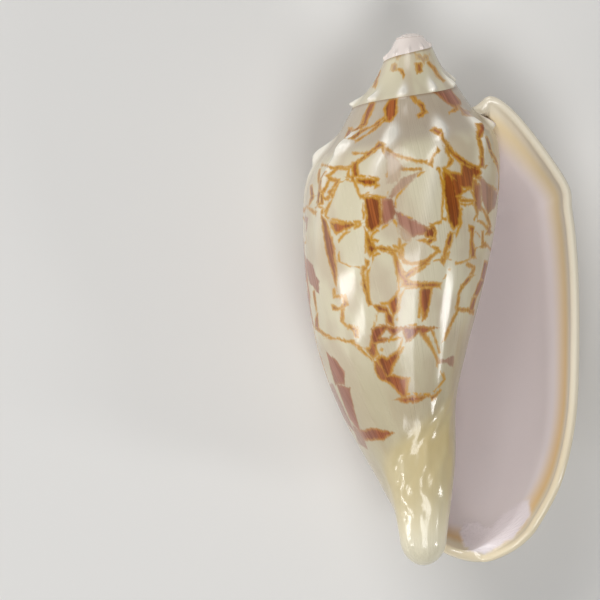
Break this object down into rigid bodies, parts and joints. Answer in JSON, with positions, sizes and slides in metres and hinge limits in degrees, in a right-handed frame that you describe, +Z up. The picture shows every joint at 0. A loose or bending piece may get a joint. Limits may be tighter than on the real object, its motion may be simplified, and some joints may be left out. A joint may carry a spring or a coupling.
{
  "type": "volute shell",
  "caption": "Right-handed volute sea shell with a short knobbed spire, a long open mouth and brown tent markings on cream, lying on its back.",
  "frame": {"origin": "centre of the shell's box, at the bottom, on the ground", "axes": "+Z up out of the mouth, +Y toward the apex, +X toward the outer lip"},
  "size_m": [0.0458, 0.0902, 0.0374],
  "materials": {
    "shell": "glossy"
  },
  "bodies": {
    "root": {"volute_shell": "shell"}
  },
  "joints": []
}
